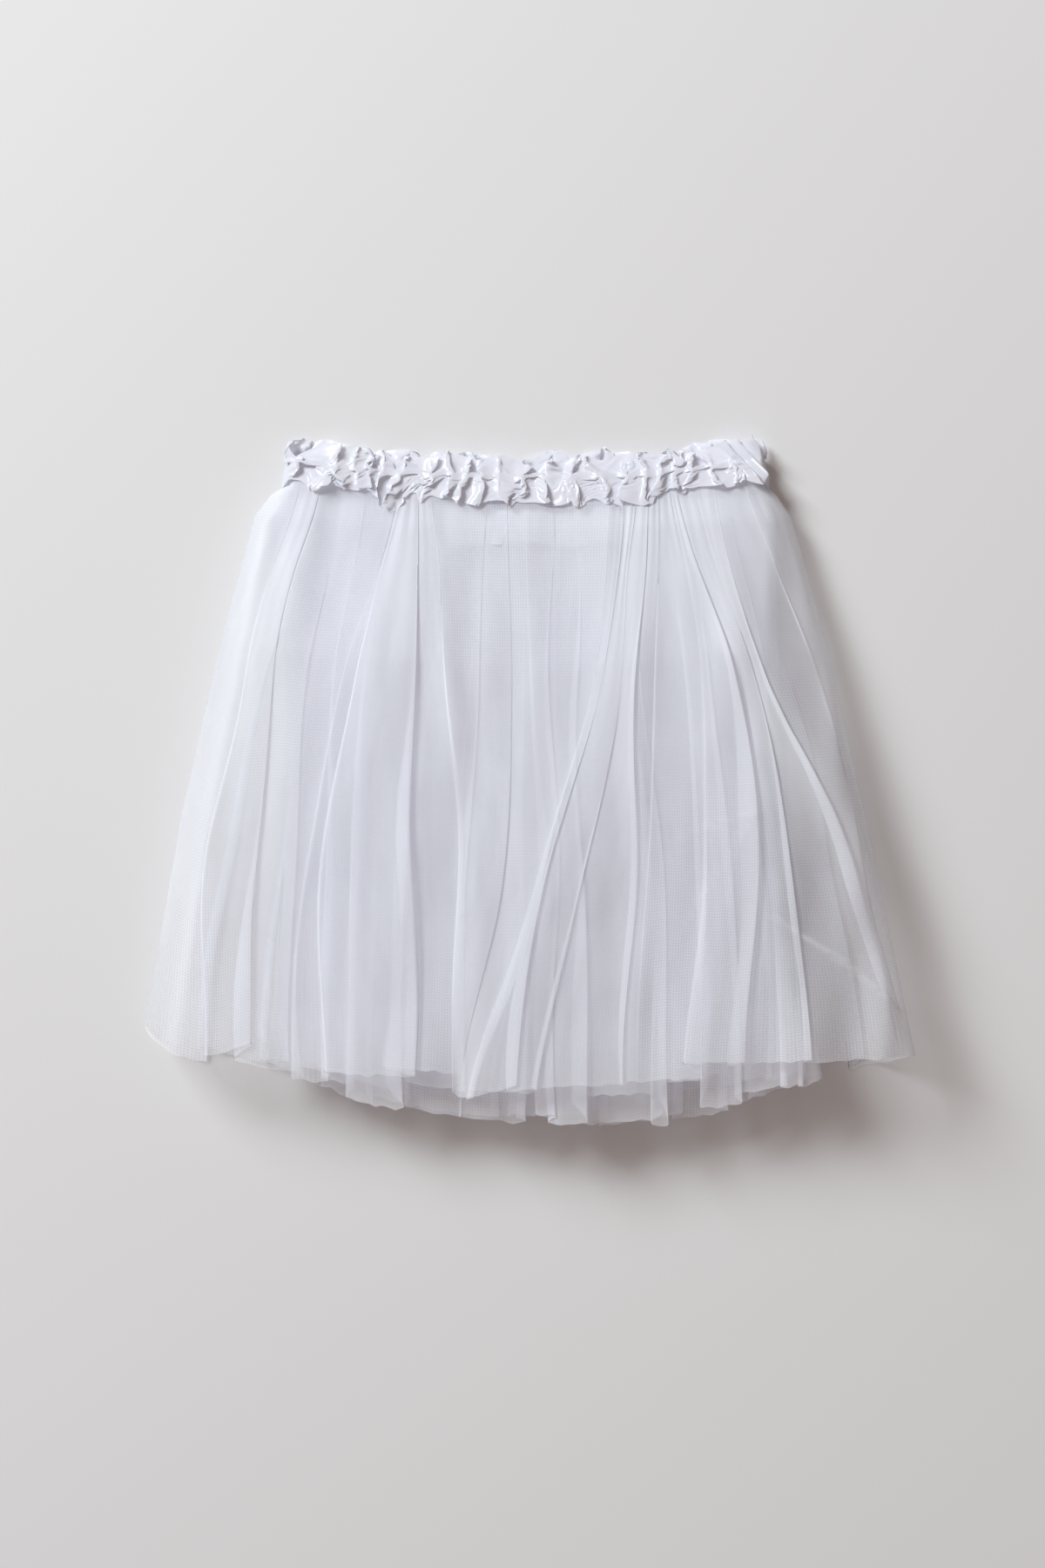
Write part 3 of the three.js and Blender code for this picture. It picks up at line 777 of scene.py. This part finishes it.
def simulate_strip(seed):
    """The strip's points after Blender's cloth has let it buckle, in millimetres."""
    start = strip_start(seed)
    scale = SIM_SCALE * MM
    mesh = bpy.data.meshes.new("strip")
    faces = grid_faces(STRIP_ROWS, STRIP_COLUMNS)
    mesh.from_pydata((start * scale).reshape(-1, 3).tolist(), [], faces.tolist())
    sheet = bpy.data.objects.new("strip", mesh)
    bpy.context.scene.collection.objects.link(sheet)
    sheet.shape_key_add(name="Basis")
    flat = sheet.shape_key_add(name="flat")
    flat.data.foreach_set("co", (strip_flat() * scale).astype(np.float32).ravel())
    flat.value = 0.0
    row = round(ELASTIC_SHARE * (STRIP_ROWS - 1))
    held = np.arange(STRIP_ROWS * STRIP_COLUMNS).reshape(STRIP_ROWS, STRIP_COLUMNS)[row - 1:row + 1]
    sheet.vertex_groups.new(name="elastic").add(held.ravel().tolist(), 1.0, "REPLACE")
    cloth = sheet.modifiers.new("cloth", "CLOTH")
    for key, value in SATIN_CLOTH.items():
        setattr(cloth.settings, key, value)
    for key, value in SATIN_TOUCH.items():
        setattr(cloth.collision_settings, key, value)
    cloth.settings.vertex_group_mass = "elastic"
    cloth.settings.rest_shape_key = flat
    cloth.settings.effector_weights.gravity = 0.6
    bpy.ops.mesh.primitive_plane_add(size=10)
    table = bpy.context.object
    table.modifiers.new("collision", "COLLISION")
    table.collision.thickness_outer = 0.005
    cloth.point_cache.frame_start = 1
    cloth.point_cache.frame_end = SIM_FRAMES
    scene.frame_end = SIM_FRAMES
    for number in range(1, SIM_FRAMES + 1):
        scene.frame_set(number)
    done = sheet.evaluated_get(bpy.context.evaluated_depsgraph_get())
    points = np.empty(STRIP_ROWS * STRIP_COLUMNS * 3, dtype=np.float32)
    done.data.vertices.foreach_get("co", points)
    bpy.data.objects.remove(table)
    bpy.data.objects.remove(sheet)
    bpy.data.meshes.remove(mesh)
    scene.frame_set(1)
    return points.reshape(STRIP_ROWS, STRIP_COLUMNS, 3) / scale


def band_at(y, field):
    return np.interp(y, [r.y for r in BAND_ROWS], [getattr(r, field) for r in BAND_ROWS])


def with_ribs(points):
    """The strip with its end at the wearer's left drawn up into long leaning ribs with sharp crests."""
    s = np.linspace(-1, 1, STRIP_COLUMNS)[None, :]
    up = np.linspace(0, 1, STRIP_ROWS)[:, None] - ELASTIC_SHARE
    across = (s + RIB_LEAN * up) / RIB_SPACING + RIB_WANDER * waves(s * 16 + up * 2, STRIP_SEED + 8)
    crest = (1 - np.abs(np.sin(math.pi * across))) ** 0.8
    z = RIB_BASE + RIB_HEIGHT * crest * (1 + RIB_UNEVENNESS * waves(s * 30 + up * 5, STRIP_SEED + 9))
    y = up * STRIP_PULLED_DEPTH * (0.9 + 0.16 * crest)
    x = s * STRIP_PULLED_WIDTH / 2 + 1.6 * np.cos(2 * math.pi * across)
    ribs = np.stack([x, y, z], axis=-1)
    share = smoothstep((s - RIBS_FROM + RIB_LEAN * up) / 0.08)[..., None]
    return lerp(points, ribs, share)


def band_drop(s):
    """How far the lower frill reaches down along the band: less towards its two ends."""
    left = lerp(1.0, LEFT_FRILL, smoothstep((s - 0.35) / 0.6))
    right = lerp(1.0, RIGHT_FRILL, smoothstep((-0.55 - s) / 0.3))
    return left * right


def make_band(half, points, material):
    """Half of the ruched waistband: the simulated strip laid along the bowed waist."""
    if half == "back":
        points = points[:, ::-1] * (-1, 1, 1)
    s = np.linspace(-1, 1, STRIP_COLUMNS)[None, :]
    up = np.linspace(0, 1, STRIP_ROWS)[:, None]
    share = points[..., 0] / (STRIP_PULLED_WIDTH / 2)
    row_y = ELASTIC_Y + points[..., 1] * np.where(points[..., 1] < 0, band_drop(s), 1.0)
    height = points[..., 2] - np.percentile(points[..., 2], 2)
    if half == "front":
        z = band_at(row_y, "front_low") + FRONT_RELIEF * height
    else:
        low, high = band_at(row_y, "back_low"), band_at(row_y, "back_high")
        z = np.clip(high - (high - low) * height / BACK_ROOM, low, high)
    x = share * band_at(row_y, "half_width")
    plain_y = lerp(BAND_ROWS[0].y, BAND_ROWS[-1].y, up) + 0 * s
    end = smoothstep((np.abs(s) - 0.985) / 0.015) + 0 * up
    x = lerp(x, np.sign(s) * band_at(plain_y, "half_width"), end)
    y = lerp(row_y, plain_y, end)
    z = lerp(z, band_at(plain_y, "side"), end)
    bow = np.clip(x / BAND_ROWS[0].half_width, -1, 1) ** 2
    y = y + BAND_END_RISE * bow
    if half == "back":
        y = y + BAND_BACK_RAISE * up * (1 - end)
    flat = (STRIP_WIDTH * PRESSED_SHARE * MM, STRIP_DEPTH * PRESSED_SHARE * MM)
    u, v = (s + 1) / 2 * STRIP_WIDTH, up * STRIP_DEPTH
    band = make_grid(f"satin_band_{half}", x + BAND_CENTRE_X, y, z, u, v, material)
    smooth = band.modifiers.new("smooth", "SUBSURF")
    smooth.levels = smooth.render_levels = 1
    return band, flat


TAIL_ROWS = 24
TAIL_COLUMNS = 12
TAIL_FLAT = (10.0, 20.0)
TAIL_TOP = (-15.0, 157.0, 13.2)  # the middle of the end that is sewn in
TAIL_LEAN = 4.0  # towards the wearer's right, down to its tip
TAIL_TIP_HEIGHT = 17.6
TAIL_TIP_HALF_WIDTH = 3.2
TAIL_CURL = 0.4


def make_tail(material):
    """The loose end of satin under the outer net."""
    t = np.linspace(0, 1, TAIL_ROWS)[:, None]
    s = np.linspace(-1, 1, TAIL_COLUMNS)[None, :]
    half_width = lerp(TAIL_FLAT[0] / 2, TAIL_TIP_HALF_WIDTH, t)
    x = TAIL_TOP[0] - TAIL_LEAN * t + s * half_width
    y = TAIL_TOP[1] - TAIL_FLAT[1] * t + 0 * s
    z = lerp(TAIL_TOP[2], TAIL_TIP_HEIGHT, t) + TAIL_CURL * np.cos(s * 2.2) + 0 * x
    u = s * TAIL_FLAT[0] / 2 + 0 * t
    v = TAIL_FLAT[1] * t + 0 * s
    return make_grid("satin_end", x, y, z, u, v, material), (TAIL_FLAT[0] * MM, TAIL_FLAT[1] * MM)


# ---- Camera, light, ground ----
def make_stage():
    bpy.ops.mesh.primitive_plane_add(size=FLOOR_SIZE, location=(0, 0, 0))
    floor = bpy.context.object
    floor.name = "surface"
    floor.data.materials.append(floor_material())


def make_camera():
    data = bpy.data.cameras.new("camera")
    data.sensor_width = SENSOR
    data.lens = SENSOR * (CAMERA_HEIGHT - FRAME_PLANE) / FRAME_HEIGHT
    camera = bpy.data.objects.new("camera", data)
    camera.location = (CAMERA_X * MM, CAMERA_Y * MM, CAMERA_HEIGHT)
    scene.collection.objects.link(camera)
    scene.camera = camera


WINDOW_PLACE = (-3.02, 2.98, 2.66)
WINDOW_SIZE = 1.84
WINDOW_POWER = 360.0
WINDOW_COLOUR = (0.895, 0.962, 1.0)
ROOM_COLOUR = (1.0, 0.805, 0.725, 1)
ROOM_STRENGTH = 0.29


def make_light():
    """One soft window on the upper left of the picture, in a warm pale room."""
    world = bpy.data.worlds.new("room")
    world.use_nodes = True
    room = world.node_tree.nodes["Background"]
    room.inputs["Color"].default_value = ROOM_COLOUR
    room.inputs["Strength"].default_value = ROOM_STRENGTH
    scene.world = world
    data = bpy.data.lights.new("window", "AREA")
    data.size = WINDOW_SIZE
    data.energy = WINDOW_POWER
    data.color = WINDOW_COLOUR
    window = bpy.data.objects.new("window", data)
    window.location = WINDOW_PLACE
    across = math.hypot(WINDOW_PLACE[0], WINDOW_PLACE[1])
    window.rotation_euler = (
        math.atan2(across, WINDOW_PLACE[2]),
        0.0,
        math.atan2(-WINDOW_PLACE[1], -WINDOW_PLACE[0]) - math.pi / 2,
    )
    scene.collection.objects.link(window)


scene = bpy.context.scene
scene.view_settings.view_transform = "Standard"
scene.cycles.transparent_max_bounces = 40
scene.cycles.diffuse_bounces = 5
scene.cycles.max_bounces = 8

make_camera()

outer_material = net_material("outer_net", OUTER_COLOUR, OUTER_COVER)
inner_material = net_material("inner_net", INNER_COLOUR, INNER_COVER)
satin = satin_material()

strip = simulate_strip(STRIP_SEED)
for half in ("front", "back"):
    piece, flat = make_band(half, with_ribs(strip) if half == "front" else strip, satin)
    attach(piece, "root")
    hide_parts(f"waistband_{half}")

for number, net in enumerate(NETS):
    for half in ("front", "back"):
        seed = 10 * number + (1 if half == "front" else 6)
        piece, flat = make_net(net, half, seed, outer_material if net.name == "outer" else inner_material)
        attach(piece, "root")
        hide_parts(f"net_{net.name}_{half}")

tail, flat = make_tail(satin)
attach(tail, "root")
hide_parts("satin_tail")

make_stage()
make_light()
